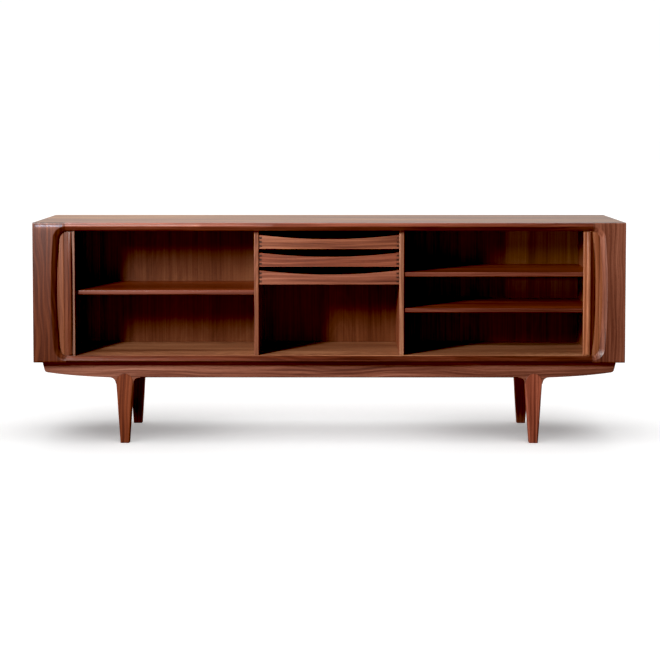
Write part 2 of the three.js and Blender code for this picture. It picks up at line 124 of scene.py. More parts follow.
# Each wood: the axis that its grain runs along, its place in the log, tint, roughness, coat,
# how wild the grain is, how far light and dark wood lie apart, and the width of one leaf of
# veneer, or 0 for one board
# rail undersides are painted with this dark tint: painted shade where little light reaches
PAINTED_SHADE_TINT = (0.20, 0.14, 0.12)
# Right-hand pieces have lighter tints than their left-hand twins: partly the wood, partly painted
# light that evens out the key shining from the left.
WOODS = {
    "left_stile": ("Z", 5.6, (0.50, 0.37, 0.30), 0.38, 0.15, 0.95, 1.15, 0),
    "right_stile": ("Z", 3.1, (1.08, 1.18, 1.5), 0.40, 0.15, 0.65, 1.05, 0),
    "top_front_rail": ("X", 1.3, (0.62, 0.46, 0.48), 0.34, 0.3, 0.5, 1.15, 0),
    # the top rail's face: a paler copy of the rail's wood, painted light where the light falls on
    # it
    "top_rail_face": ("X", 1.7, (0.92, 0.76, 0.90), 0.32, 0.4, 0.5, 1.15, 0),
    "bottom_front_rail": ("X", 2.2, (0.54, 0.40, 0.42), 0.34, 0.3, 0.5, 1.15, 0),
    "bottom_rail_edge": ("X", 3.0, PAINTED_SHADE_TINT, 0.6, 0.0, 0.5, 1.15, 0),
    "top_panel": ("top", 1.0, (0.98, 1.24, 0.98), 0.36, 0.25, 0.3, 1.15, 0.16),
    "side_panel": ("side", 2.0, (0.95, 0.90, 0.86), 0.42, 0.15, 0.4, 1.15, 0.19),
    "back_panel": ("Z", 4.0, (0.9, 0.86, 0.84), 0.5, 0.05, 0.4, 1.15, 0.21),
    "bottom_panel": ("top", 6.0, (1.7, 2.1, 2.2), 0.48, 0.05, 0.3, 1.15, 0.16),
    "inner_back": ("Z", 7.0, (0.60, 0.58, 0.52), 0.55, 0.0, 0.15, 0.7, 0.13),
    "inner_side": ("side", 8.0, (0.80, 0.66, 0.60), 0.5, 0.05, 0.2, 1.15, 0),
    "left_divider_edge": ("Z", 9.0, (1.35, 1.6, 1.9), 0.36, 0.15, 0.2, 1.15, 0),
    "right_divider_edge": ("Z", 9.2, (1.45, 1.95, 2.4), 0.36, 0.15, 0.2, 1.15, 0),
    "divider": ("side", 9.5, (0.9, 0.72, 0.62), 0.46, 0.08, 0.5, 1.15, 0),
    "shelf": ("top", 10.0, (0.98, 0.60, 0.42), 0.42, 0.05, 0.3, 1.15, 0.12),
    "shelf_edge": ("X", 10.5, (0.74, 0.64, 0.85), 0.34, 0.2, 0.2, 1.15, 0),
    "cleat": ("Y", 11.0, (0.8, 0.68, 0.62), 0.5, 0.05, 0.5, 1.15, 0),
    "drawer_inside": ("Y", 12.0, (1.0, 0.92, 0.86), 0.5, 0.05, 0.5, 1.15, 0),
    "drawer_bottom": ("top", 13.0, (1.1, 1.0, 0.92), 0.5, 0.05, 0.5, 1.15, 0.14),
    "drawer_1_front": ("X", 16.3, (1.06, 1.08, 1.2), 0.40, 0.12, 0.5, 1.3, 0),
    "drawer_2_front": ("X", 18.6, (0.88, 0.74, 0.84), 0.40, 0.12, 0.5, 1.3, 0),
    "drawer_3_front": ("X", 20.9, (0.95, 0.92, 1.12), 0.40, 0.12, 0.5, 1.3, 0),
    "left_handle": ("Z", 20.0, (0.72, 0.64, 0.66), 0.36, 0.2, 0.3, 1.15, 0),
    "right_handle": ("Z", 22.0, (1.65, 1.88, 1.96), 0.36, 0.2, 0.3, 1.15, 0),
    "left_slats": ("Z", 23.0, (0.98, 0.94, 0.86), 0.42, 0.12, 0.3, 1.15, 0),
    "right_slats": ("Z", 25.0, (1.25, 1.22, 1.15), 0.42, 0.12, 0.3, 1.15, 0),
    "left_strip": ("Z", 26.0, (0.86, 1.2, 1.72), 0.36, 0.2, 0.3, 1.15, 0),
    "right_strip": ("Z", 28.0, (1.65, 1.88, 1.96), 0.36, 0.2, 0.3, 1.15, 0),
    "front_rail": ("X", 31.0, (1.2, 1.38, 1.85), 0.42, 0.12, 0.5, 1.3, 0),
    "rear_rail": ("X", 33.0, (1.2, 1.38, 1.85), 0.42, 0.12, 0.5, 1.3, 0),
    "base_rail_edge": ("X", 32.0, PAINTED_SHADE_TINT, 0.6, 0.0, 0.5, 1.15, 0),
    "front_left_leg": ("Z", 35.7, (0.88, 0.64, 0.53), 0.42, 0.12, 0.5, 1.15, 0),
    "front_right_leg": ("Z", 37.7, (1.62, 1.42, 1.75), 0.42, 0.12, 0.5, 1.15, 0),
    "rear_left_leg": ("Z", 32.3, (0.88, 0.64, 0.53), 0.42, 0.12, 0.5, 1.15, 0),
    "rear_right_leg": ("Z", 34.3, (1.62, 1.42, 1.75), 0.42, 0.12, 0.5, 1.15, 0),
    "cross_rail": ("Y", 41.0, (0.9, 0.8, 0.74), 0.5, 0.05, 0.5, 1.15, 0),
}
# How strongly bare wood shines, and the woods that shine less
SHINE = 0.5
DULL = {"inner_back": 0.15, "shelf": 0.3}
COAT_ROUGHNESS = 0.28
WALNUT_IOR = 1.48
RELIEF_STRENGTH = 0.25
PORE_RELIEF = 0.0004
PORE_SHADE = (0.30, 0.22, 0.18, 1)
END_GRAIN_SHADE = (0.13, 0.08, 0.06, 1)
# Wood from dark to light: (place on the ramp, colour)
WALNUT_RAMP = (
    (0.34, (0.040, 0.009, 0.004, 1)),
    (0.43, (0.105, 0.028, 0.012, 1)),
    (0.52, (0.200, 0.062, 0.027, 1)),
    (0.62, (0.300, 0.108, 0.050, 1)),
    (0.74, (0.410, 0.178, 0.090, 1)),
)
RAMP_MIDDLE = 0.52

# Studio; a light is (name, place, target, size, watts) and, where it is narrow, its spread
STUDIO_LIGHTS = (
    # the key shines along the front from the left, so that both ends are lit alike
    ("key", (-1.6, -2.0, 1.50), (0.9, -1.4, 1.27), (0.42, 0.62), 112, 155),
    ("top_edge", (-1.7, -0.75, 2.3), (-0.3, -0.25, 0.83), (0.9, 0.5), 30),
    ("backdrop", (0, 3.4, 1.9), (0, 0, 0.9), (8, 3.0), 44),
    ("overhead", (0, 0.5, 2.8), (0, 0.1, 0.8), (3.2, 1.4), 76),
    ("right_fill", (4.2, -3.2, 1.2), (0.4, 0, 0.5), (2, 2), 7),
    # these two stand behind the front, so they light the ends and not the front
    ("left_end_fill", (-3.6, 0.9, 1.3), (-1.1, 0, 0.5), (1.8, 1.8), 26),
    ("right_end_fill", (3.6, 0.9, 1.3), (1.1, 0, 0.5), (1.8, 1.8), 26),
)
# Lights that fall on one piece only: the light, its colour and the piece
ACCENT_LIGHTS = (
    (("stile_glint", (-1.04, -0.26, 0.8175), (-1.04, -0.25, 0.8165), (0.10, 0.003), 0.024),
     (0.5, 0.75, 1.0), "left_stile"),
    (("rail_shine_1", (-0.73, -0.26, 0.8195), (-0.73, -0.25, 0.8185), (0.50, 0.002), 0.042),
     (0.55, 0.66, 0.68), "top_front_rail_wood"),
    (("rail_shine_2", (-0.60, -0.26, 0.8195), (-0.60, -0.25, 0.8185), (0.78, 0.002), 0.03),
     (0.55, 0.66, 0.68), "top_front_rail_wood"),
    (("bays", (0.1, -1.6, 0.62), (0.1, 0, 0.6), (2.4, 0.8), 3.0),
     (1.0, 0.30, 0.12), "inner_back_wood"),
    (("floor_middle", (0, 0.06, 0.28), (0, 0.06, 0), (0.9, 0.4), 0.9), (1, 1, 1), "floor"),
)
GLOW = {"place": (-2.53, -2.6, 0.93), "target": (0.86, 0.158, 0.765), "watts": 270, "cone": 9,
        "blend": 0.7, "size": 0.05, "colour": (0.7, 1.0, 0.5)}
SUN = {"strength": 2.8, "angle": 76, "tilt": 8}
FLOOR_SIZE = 80
FLOOR_PAINT = (0.9, 0.9, 0.9, 1)
FLOOR_GLOW = 0.33
FLOOR_BOUNCE = (0.25, 0.085, 0.05, 1)
WORLD_FILL = 0.014
BLACK_LEVEL = 0.008
CAMERA = {"place": (0.016, -6.104, 1.204), "pitch": -2.76, "turn": 0.124, "lens": 86.43,
          "sensor": 36, "shift": -0.2}


# ---- mesh helpers

def finish_mesh(bm, name, angle=32):
    """The bmesh as a mesh, faces outwards, smooth but for edges sharper than angle."""
    bmesh.ops.recalc_face_normals(bm, faces=bm.faces)
    mesh = bpy.data.meshes.new(name)
    bm.to_mesh(mesh)
    bm.free()
    mesh.shade_smooth()
    mesh.set_sharp_from_angle(angle=math.radians(angle))
    return mesh


def opened(mesh):
    """The mesh as a bmesh."""
    bm = bmesh.new()
    bm.from_mesh(mesh)
    return bm


def opened_from(vertices, faces):
    """A bmesh of vertices and faces."""
    mesh = bpy.data.meshes.new("draft")
    mesh.from_pydata(vertices, [], faces)
    bm = opened(mesh)
    bpy.data.meshes.remove(mesh)
    return bm


def rounded(bm, edges, radius, segments):
    bmesh.ops.bevel(bm, geom=edges, offset=radius, segments=segments, profile=0.5,
                    affect="EDGES", clamp_overlap=True)


def split_at(bm, place, normal):
    """Cuts the bmesh's faces along a plane and keeps both sides."""
    bmesh.ops.bisect_plane(bm, geom=bm.verts[:] + bm.edges[:] + bm.faces[:],
                           plane_co=place, plane_no=normal)


def second_wood(mesh, wood, chosen):
    """Gives the faces for which chosen(centre, normal) is true another wood."""
    mesh.materials.append(wood)
    for face in mesh.polygons:
        face.material_index = int(chosen(face.center, face.normal))


def tube(name, sections, angle=32):
    """A closed skin through sections of equal count, with both ends filled."""
    count = len(sections[0])
    faces = []
    for row in range(len(sections) - 1):
        for k in range(count):
            a, b = row * count + k, row * count + (k + 1) % count
            faces.append((a, b, b + count, a + count))
    last = (len(sections) - 1) * count
    faces.append(tuple(range(count)))
    faces.append(tuple(range(last, last + count)))
    vertices = [p for section in sections for p in section]
    return finish_mesh(opened_from(vertices, faces), name, angle)


def rounded_box(name, low, high, radius, front=None):
    """A box with rounded edges; front is a larger radius for the two long edges of the front."""
    bm = bmesh.new()
    bmesh.ops.create_cube(bm, size=1)
    low, high = Vector(low), Vector(high)
    size = high - low
    place = Matrix.Translation((low + high) / 2) @ Matrix.Diagonal((*size, 1))
    bmesh.ops.transform(bm, matrix=place, verts=bm.verts)
    if front:
        across = 0 if size.x > size.z else 2
        edges = [e for e in bm.edges
                 if all(abs(v.co.y - low.y) < 1e-6 for v in e.verts)
                 and abs(e.verts[0].co[across] - e.verts[1].co[across]) > 1e-6]
        rounded(bm, edges, front, 5)
    edges = [e for e in bm.edges if len(e.link_faces) == 2 and e.calc_face_angle(0) > 0.6]
    rounded(bm, edges, radius, 3)
    return finish_mesh(bm, name)


def prism(name, outline, axis, span, radius, angle=40):
    """A 2D outline pushed along an axis from span[0] to span[1], with its sharp edges rounded."""
    spread = {
        "X": lambda a, b, c: (c, a, b),
        "Y": lambda a, b, c: (a, c, b),
        "Z": lambda a, b, c: (a, b, c),
    }[axis]
    count = len(outline)
    vertices = [spread(a, b, c) for c in span for a, b in outline]
    faces = [(k, (k + 1) % count, (k + 1) % count + count, k + count) for k in range(count)]
    faces += [tuple(range(count)), tuple(range(count, 2 * count))]
    bm = opened_from(vertices, faces)
    bmesh.ops.recalc_face_normals(bm, faces=bm.faces)
    if radius:
        rounded(bm, [e for e in bm.edges if e.calc_face_angle(0) > math.radians(angle)], radius, 3)
    return finish_mesh(bm, name)


def refined_node(node, name, radius):
    """The CAD node's own shape with its triangles merged and its sharp edges rounded."""
    bm = opened(frame["nodes"][node].data)
    bmesh.ops.remove_doubles(bm, verts=bm.verts, dist=1e-6)
    bmesh.ops.dissolve_limit(bm, angle_limit=math.radians(0.6), verts=bm.verts, edges=bm.edges)
    edges = [e for e in bm.edges if len(e.link_faces) == 2 and e.calc_face_angle(0) > 0.7]
    rounded(bm, edges, radius, 2)
    return finish_mesh(bm, name)


def mirrored_mesh(mesh, name, axes=(-1, 1, 1)):
    """A copy of the mesh turned over through the planes of the axes given as -1."""
    copy = mesh.copy()
    copy.name = name
    copy.transform(Matrix.Diagonal((*axes, 1)))
    if axes[0] * axes[1] * axes[2] < 0:
        copy.flip_normals()
    return copy


def piece(name, mesh, material, body, replaces=(), weighted=True):
    """An object of the visual model, with its body and the CAD nodes it stands for."""
    obj = bpy.data.objects.new(name, mesh)
    bpy.context.scene.collection.objects.link(obj)
    mesh.materials.clear()
    mesh.materials.append(material)
    if weighted:
        modifier = obj.modifiers.new("even_normals", "WEIGHTED_NORMAL")
        modifier.keep_sharp = True
    if body:
        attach(obj, body)
    if replaces:
        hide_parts(*replaces)
    return obj


# ---- materials

def new_node(tree, kind, **settings):
    node = tree.nodes.new(kind)
    for key, value in settings.items():
        setattr(node, key, value)
    return node


def value_or_link(tree, socket, source):
    if isinstance(source, bpy.types.NodeSocket):
        tree.links.new(source, socket)
    else:
        socket.default_value = source


def maths(tree, operation, a, b=0.0, c=0.0):
    node = new_node(tree, "ShaderNodeMath", operation=operation)
    for socket, source in zip(node.inputs, (a, b, c)):
        value_or_link(tree, socket, source)
    return node.outputs[0]


def soft_step(tree, value, start, gain):
    """0 up to start, then a rise by gain that levels out softly at 1."""
    rise = maths(tree, "MAXIMUM", maths(tree, "SUBTRACT", value, start), 0.0)
    return maths(tree, "SMOOTH_MIN", maths(tree, "MULTIPLY", rise, gain), 1.0, 0.1)


def shaded(tree, colour, shade, factor):
    """The colour multiplied by a shade, as far as factor says."""
    node = new_node(tree, "ShaderNodeMix", data_type="RGBA", blend_type="MULTIPLY")
    # a mix node's colours are its inputs 6 and 7, and its output 2
    value_or_link(tree, node.inputs["Factor"], factor)
    tree.links.new(colour, node.inputs[6])
    node.inputs[7].default_value = shade
    return node.outputs[2]


def combined(tree, parts):
    """A vector made of three values."""
    node = new_node(tree, "ShaderNodeCombineXYZ")
    for socket, part in zip(node.inputs, parts):
        tree.links.new(part, socket)
    return node.outputs[0]


def noise(tree, vector, scale, detail=2.0, roughness=0.5, distortion=0.0):
    """Noise over a vector that is first stretched by scale, an (x, y, z) of counts per metre."""
    stretch = new_node(tree, "ShaderNodeVectorMath", operation="MULTIPLY")
    tree.links.new(vector, stretch.inputs[0])
    stretch.inputs[1].default_value = scale
    node = new_node(tree, "ShaderNodeTexNoise")
    tree.links.new(stretch.outputs[0], node.inputs["Vector"])
    node.inputs["Scale"].default_value = 1.0
    node.inputs["Detail"].default_value = detail
    node.inputs["Roughness"].default_value = roughness
    node.inputs["Distortion"].default_value = distortion
    return node.outputs["Fac"]


def walnut_group():
    """Walnut figure over a vector (along, across, through) in metres: colour and pore height."""
    tree = bpy.data.node_groups.new("walnut_figure", "ShaderNodeTree")
    for name, way, kind in (
        ("Grain", "INPUT", "Vector"), ("Figure", "INPUT", "Float"), ("Contrast", "INPUT", "Float"),
        ("Color", "OUTPUT", "Color"), ("Height", "OUTPUT", "Float"), ("Streak", "OUTPUT", "Float"),
    ):
        tree.interface.new_socket(name, in_out=way, socket_type="NodeSocket" + kind)
    given = new_node(tree, "NodeGroupInput")
    source, wild = given.outputs["Grain"], given.outputs["Figure"]
    sink = new_node(tree, "NodeGroupOutput")
    split = new_node(tree, "ShaderNodeSeparateXYZ")
    tree.links.new(source, split.inputs[0])
    along, across, through = split.outputs

    # the grain wanders sideways, slowly and then a little more quickly
    sway = maths(tree, "SUBTRACT", noise(tree, source, (1.6, 5, 5), 2), 0.5)
    ripple = maths(tree, "SUBTRACT", noise(tree, source, (8, 24, 24), 2), 0.5)
    drift = maths(tree, "MULTIPLY_ADD", maths(tree, "MULTIPLY", sway, wild), 0.13, across)
    drift = maths(tree, "MULTIPLY_ADD", maths(tree, "MULTIPLY", ripple, wild), 0.011, drift)
    bent = combined(tree, (along, drift, through))

    # growth rings cut through at a slant, which draws arches along the board
    slant = noise(tree, source, (1.1, 1.5, 1.5), 1)
    heart = maths(tree, "MULTIPLY_ADD", slant, 0.42, -0.14)
    arch = maths(tree, "MULTIPLY", heart, heart)
    arch = maths(tree, "MULTIPLY_ADD", drift, drift, arch)
    year = noise(tree, bent, (0.5, 16, 16), 2)
    distance = maths(tree, "MULTIPLY", maths(tree, "SQRT", arch), 430.0)
    ring = maths(tree, "MULTIPLY_ADD", year, 5.0, distance)
    ring = maths(tree, "MULTIPLY_ADD", maths(tree, "SINE", ring), 0.5, 0.5)
    ring = maths(tree, "POWER", ring, 2.2)

    broad = noise(tree, bent, (0.9, 10, 10), 3, 0.55)
    streak = noise(tree, bent, (1.7, 120, 120), 5, 0.68, 0.15)
    fine = noise(tree, bent, (7, 560, 560), 3, 0.6)
    total = maths(tree, "MULTIPLY_ADD", streak, 0.44, maths(tree, "MULTIPLY", broad, 0.40))
    rings = maths(tree, "MULTIPLY", ring, maths(tree, "MULTIPLY_ADD", wild, 0.07, 0.015))
    total = maths(tree, "ADD", rings, total)
    total = maths(tree, "MULTIPLY_ADD", fine, 0.17, total)
    spread = maths(tree, "SUBTRACT", total, RAMP_MIDDLE)
    total = maths(tree, "MULTIPLY_ADD", spread, given.outputs["Contrast"], RAMP_MIDDLE)

    ramp = new_node(tree, "ShaderNodeValToRGB")
    tree.links.new(total, ramp.inputs[0])
    while len(ramp.color_ramp.elements) < len(WALNUT_RAMP):
        ramp.color_ramp.elements.new(0.5)
    for element, (position, colour) in zip(ramp.color_ramp.elements, WALNUT_RAMP):
        element.position = position
        element.color = colour

    # pores are short dark dashes along the grain
    pore = soft_step(tree, noise(tree, bent, (95, 1500, 1500), 1), 0.60, 9.0)
    colour = shaded(tree, ramp.outputs["Color"], PORE_SHADE, maths(tree, "MULTIPLY", pore, 0.6))
    tree.links.new(colour, sink.inputs["Color"])
    height = maths(tree, "MULTIPLY_ADD", fine, 0.5, maths(tree, "MULTIPLY", pore, -1.0))
    tree.links.new(height, sink.inputs["Height"])
    tree.links.new(streak, sink.inputs["Streak"])
    return tree


WALNUT = walnut_group()
GRAINS = {"X": (0, 2, 1), "Z": (2, 0, 1), "Y": (1, 2, 0), "top": (0, 1, 2), "side": (2, 1, 0)}


def walnut(name, laid_flat=False):
    """Oiled walnut from the table of woods. laid_flat takes the place in the wood from the mesh's
    flat map (across, along)."""
    grain, seed, tint, roughness, coat, figure, contrast, leaf = WOODS[name]
    material = bpy.data.materials.new(name + ("_flat_walnut" if laid_flat else "_walnut"))
    material.use_nodes = True
    tree = material.node_tree
    shader = tree.nodes["Principled BSDF"]
    place = new_node(tree, "ShaderNodeTexCoord")
    split = new_node(tree, "ShaderNodeSeparateXYZ")
    tree.links.new(place.outputs["UV" if laid_flat else "Object"], split.inputs[0])
    parts = [split.outputs[k] for k in ((1, 0, 2) if laid_flat else GRAINS[grain])]
    along, across, through = parts
    along = maths(tree, "ADD", along, 1.37 * seed)
    if leaf:
        # boards of one width, each from another place in the log and turned about
        board = maths(tree, "FLOOR", maths(tree, "DIVIDE", across, leaf))
        along = maths(tree, "MULTIPLY_ADD", board, 2.71, along)
        within = maths(tree, "PINGPONG", across, leaf)
        across = maths(tree, "MULTIPLY_ADD", board, 0.0013, within)
    across = maths(tree, "ADD", across, 0.173 * math.sin(7.1 * seed + 0.4))
    through = maths(tree, "ADD", through, 0.61 * seed)
    wood = new_node(tree, "ShaderNodeGroup", node_tree=WALNUT)
    tree.links.new(combined(tree, (along, across, through)), wood.inputs["Grain"])
    wood.inputs["Figure"].default_value = figure
    wood.inputs["Contrast"].default_value = contrast
    facing = new_node(tree, "ShaderNodeSeparateXYZ")
    tree.links.new(place.outputs["Normal"], facing.inputs[0])
    end = maths(tree, "ABSOLUTE", facing.outputs[GRAINS[grain][0]])
    end = maths(tree, "MULTIPLY", soft_step(tree, end, 0.75, 5.0), 0.9)
    colour = shaded(tree, wood.outputs["Color"], END_GRAIN_SHADE, end)
    colour = shaded(tree, colour, (*tint, 1), 1.0)
    tree.links.new(colour, shader.inputs["Base Color"])
    rough = maths(tree, "MULTIPLY_ADD", wood.outputs["Streak"], -0.16, roughness + 0.08)
    tree.links.new(rough, shader.inputs["Roughness"])
    relief = new_node(tree, "ShaderNodeBump")
    relief.inputs["Strength"].default_value = RELIEF_STRENGTH
    relief.inputs["Distance"].default_value = PORE_RELIEF
    tree.links.new(wood.outputs["Height"], relief.inputs["Height"])
    tree.links.new(relief.outputs[0], shader.inputs["Normal"])
    shader.inputs["IOR"].default_value = WALNUT_IOR
    shader.inputs["Specular IOR Level"].default_value = DULL.get(name, SHINE)
    shader.inputs["Coat Weight"].default_value = coat
    shader.inputs["Coat Roughness"].default_value = COAT_ROUGHNESS
    return material


# ---- front frame

STILE_LOW, STILE_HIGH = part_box("right_front_stile")
FRONT = STILE_LOW.y
SIDE_X = STILE_HIGH.x
STILE_X = STILE_LOW.x
FRAME_DEPTH = STILE_HIGH.y - STILE_LOW.y
BOTTOM_Z, TOP_Z = STILE_LOW.z, STILE_HIGH.z


def behind(distance):
    """The y of a plane at a distance behind the face of the front."""
    return FRONT + distance


def opening_at(depth, spread=0.0):
    """The outline of the opening at a depth, pushed outwards by spread."""
    hollow = 1 - (1 - min(depth / LIP_DEPTH, 1)) ** LIP_HOLLOW
    size = {k: FACE_OPENING[k] + (BACK_OPENING[k] - FACE_OPENING[k]) * hollow
            for k in FACE_OPENING}
    size["half"] += spread
    size["radius"] += spread
    size["top"] += spread
    size["bottom"] -= spread
    return size


def frame_rows():
    """The frame's cross-section as (kind, offset, depth): its outer edge, and then its lip."""
    rows = [("outer", 0.0, FRAME_DEPTH), ("outer", 0.0, FRAME_MIDDLE)]
    steps = 6
    for k in range(steps + 1):
        angle = k / steps * math.pi / 2
        rows.append(("outer", 1 - math.cos(angle), 1 - math.sin(angle)))
    rows.append(("lip", LIP_EDGE * 1.2, 0.0))
    rows.append(("lip", LIP_EDGE * 0.45, LIP_EDGE * 0.14))
    rows.append(("lip", LIP_EDGE * 0.12, LIP_EDGE * 0.5))
    lip_steps = 12
    for k in range(lip_steps + 1):
        rows.append(("lip", 0.0, LIP_EDGE + (LIP_DEPTH - LIP_EDGE) * k / lip_steps))
    rows.append(("lip", 0.0, FRAME_DEPTH))
    return rows


ROWS = frame_rows()


def rail_section(x, top):
    """Cross-section of the top or bottom rail at x."""
    points = []
    for kind, offset, depth in ROWS:
        edge = TOP_EDGE if top else RAIL_UNDER_EDGE
        if kind == "outer":
            plain = depth in (FRAME_DEPTH, FRAME_MIDDLE)
            inset = 0.0 if plain else offset * edge
            y = behind(depth if plain else depth * edge)
            points.append((x, y, TOP_Z - inset if top else BOTTOM_Z + inset))
        else:
            size = opening_at(depth, offset)
            straight = size["half"] - size["radius"]
            drop = 0.0
            if abs(x) > straight:
                drop = size["radius"] - math.sqrt(size["radius"] ** 2 - (abs(x) - straight) ** 2)
            z = size["top"] - drop if top else size["bottom"] + drop
            points.append((x, behind(depth), z))
    return points


def corner_point(size, share, top):
    """A point on the opening's corner, from over the rail joint (0) to the side's start (1)."""
    centre_x = size["half"] - size["radius"]
    lean = min(max((STILE_X - centre_x) / size["radius"], 0.0), 1.0)
    start = math.acos(lean)
    angle = start * (1 - share)
    x = centre_x + size["radius"] * math.cos(angle)
    rise = size["radius"] * math.sin(angle)
    if top:
        return x, size["top"] - size["radius"] + rise
    return x, size["bottom"] + size["radius"] - rise


def stile_sections():
    """Cross-sections of the right stile, from the top rail joint round to the bottom one."""
    corner_steps, side_steps = 28, 36
    stations = [("corner", k / corner_steps, True) for k in range(corner_steps + 1)]
    stations += [("side", k / side_steps, None) for k in range(1, side_steps)]
    stations += [("corner", 1 - k / corner_steps, False) for k in range(corner_steps + 1)]
    sections = []
    for kind, share, top in stations:
        points = []
        for row, offset, depth in ROWS:
            if row == "lip":
                size = opening_at(depth, offset)
                if kind == "corner":
                    x, z = corner_point(size, share, top)
                else:
                    middle = (size["top"] + size["bottom"]) / 2
                    reach = (size["top"] - size["bottom"]) / 2 - size["radius"]
                    t = 1 - 2 * share
                    x = size["half"] + size["bow"] * (1 - t * t)
                    z = middle + reach * t
                points.append((x, behind(depth), z))
                continue
            plain = depth in (FRAME_DEPTH, FRAME_MIDDLE)
            points.append(stile_edge(kind, share, top, offset, depth, plain))
        sections.append(points)
    return sections


def stile_edge(kind, share, top, offset, depth, plain):
    """A point on the stile's outer edge, over the top, round the corner and down the side."""
    side_inset = 0.0 if plain else offset * FRAME_EDGE
    cap_inset = 0.0 if plain else offset * (TOP_EDGE if top else BOTTOM_EDGE)
    size = opening_at(0.0)
    high, low = size["top"] - size["radius"], size["bottom"] + size["radius"]
    x_end = SIDE_X - side_inset
    z_end = TOP_Z - cap_inset if top else BOTTOM_Z + cap_inset
    near = high if top else low
    edge = FRAME_EDGE
    if kind == "corner" and share <= 0.5:
        x, z = STILE_X + (x_end - STILE_X) * share * 2, z_end
        edge = TOP_EDGE if top else BOTTOM_EDGE
    elif kind == "corner":
        x, z = x_end, z_end + (near - z_end) * (share * 2 - 1)
    else:
        x, z = x_end, high + (low - high) * share
    return (x, behind(depth if plain else depth * edge), z)


def make_front_frame():
    stile = tube("right_stile", stile_sections(), 30)
    piece("right_stile", stile, walnut("right_stile"), "carcass",
          ["right_front_stile"])
    piece("left_stile", mirrored_mesh(stile, "left_stile"), walnut("left_stile"), "carcass",
          ["left_front_stile"])
    # the top rail's face is painted paler than its lip, a painted highlight where the light falls,
    # and the bottom rail's underside is painted darker, painted shade
    seconds = {
        "top_front_rail": (walnut("top_rail_face"),
                           lambda centre, normal: centre.y < FRONT + LIP_EDGE and normal.z > -0.3),
        "bottom_front_rail": (walnut("bottom_rail_edge"), lambda centre, normal: normal.z < -0.08),
    }
    stations = 64
    for node, (wood, chosen) in seconds.items():
        low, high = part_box(node)
        xs = [low.x + (high.x - low.x) * k / stations for k in range(stations + 1)]
        mesh = tube(node + "_wood", [rail_section(x, node == "top_front_rail") for x in xs], 30)
        piece(node + "_wood", mesh, walnut(node), "carcass", [node])
        second_wood(mesh, wood, chosen)


# ---- carcass and inside

def make_carcass():
    side = walnut("side_panel")
    for node, wood, slot in (
        ("top_panel", walnut("top_panel"), "walnut_top"),
        ("bottom_panel", walnut("bottom_panel"), "walnut_side"),
        ("left_side_panel", side, "walnut_side"),
        ("right_side_panel", side, "walnut_side"),
    ):
        mesh = refined_node(node, node + "_veneered", VENEER_EDGE)
        piece(node + "_veneered", mesh, wood, "carcass", [node])
    boxed("back_panel", walnut("back_panel"), PANEL_EDGE)


def boxed(node, wood, radius, front=None, body="carcass", lipping=None):
    """A node's box with rounded edges; lipping is the wood of the strip glued along its front."""
    low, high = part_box(node)
    mesh = rounded_box(node + "_wood", low, high, radius, front)
    piece(node + "_wood", mesh, wood, body, [node])
    if lipping:
        joint = low.y + LIPPING
        bm = opened(mesh)
        split_at(bm, (0, joint, 0), (0, 1, 0))
        bm.to_mesh(mesh)
        bm.free()
        second_wood(mesh, lipping, lambda centre, normal: centre.y < joint)


def make_inside():
    boxed("inner_back", walnut("inner_back"), PANEL_EDGE)
    wall, divider = walnut("inner_side"), walnut("divider")
    shelf, shelf_edge, cleat = walnut("shelf"), walnut("shelf_edge"), walnut("cleat")
    for _, word in SIDES:
        boxed(f"{word}_inner_side", wall, PANEL_EDGE)
        boxed(f"{word}_divider", divider, PANEL_EDGE, FRONT_EDGE,
              lipping=walnut(f"{word}_divider_edge"))
    for name in ("left_shelf", "right_upper_shelf", "right_lower_shelf"):
        boxed(name, shelf, PANEL_EDGE, FRONT_EDGE, lipping=shelf_edge)
        for end in ("inner", "outer"):
            boxed(f"{name}_{end}_cleat", cleat, PANEL_EDGE)
    for n in (1, 2, 3):
        for _, word in SIDES:
            boxed(f"drawer_{n}_{word}_runner", cleat, SMALL_EDGE)


# ---- drawers

def drawer_front_outline(low, high, side_thickness):
    """Front view of a drawer front: a hollowed top edge, and notches for the sides' fingers."""
    height = high.z - low.z
    finger = height / FINGERS
    notch = high.x - side_thickness - JOINT
    right = []
    for k in range(FINGERS):
        bottom, top = low.z + k * finger, low.z + (k + 1) * finger
        if k % 2:
            right += [(notch, bottom - JOINT / 2), (notch, top + JOINT / 2)]
        else:
            up = bottom + (JOINT / 2 if k else 0)
            down = top - (JOINT / 2 if k < FINGERS - 1 else 0)
            right += [(high.x, up), (high.x, down)]
    steps = 60
    hollow = []
    for k in range(1, steps):
        t = 1 - 2 * k / steps
        hollow.append((high.x * t, high.z - DRAWER_SCOOP * (1 - t * t)))
    left = [(-x, z) for x, z in reversed(right)]
    return right + hollow + left


def make_drawers():
    inside, panel = walnut("drawer_inside"), walnut("drawer_bottom")
    for n in (1, 2, 3):
        body = f"drawer_{n}"
        low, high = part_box(f"drawer_{n}_front")
        side_low, side_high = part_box(f"drawer_{n}_right_side")
        outline = drawer_front_outline(low, high, side_high.x - side_low.x)
        mesh = prism(f"drawer_{n}_front_wood", outline, "Y", (low.y, high.y), SMALL_EDGE)
        piece(f"drawer_{n}_front_wood", mesh, walnut(f"drawer_{n}_front"), body,
              [f"drawer_{n}_front"])
        for _, word in SIDES:
            node = f"drawer_{n}_{word}_side"
            mesh = refined_node(node, node + "_wood", DRAWER_SIDE_EDGE)
            piece(node + "_wood", mesh, inside, body, [node])
        boxed(f"drawer_{n}_back", inside, SMALL_EDGE, body=body)
        boxed(f"drawer_{n}_bottom", panel, SMALL_EDGE, body=body)


# ---- roll doors

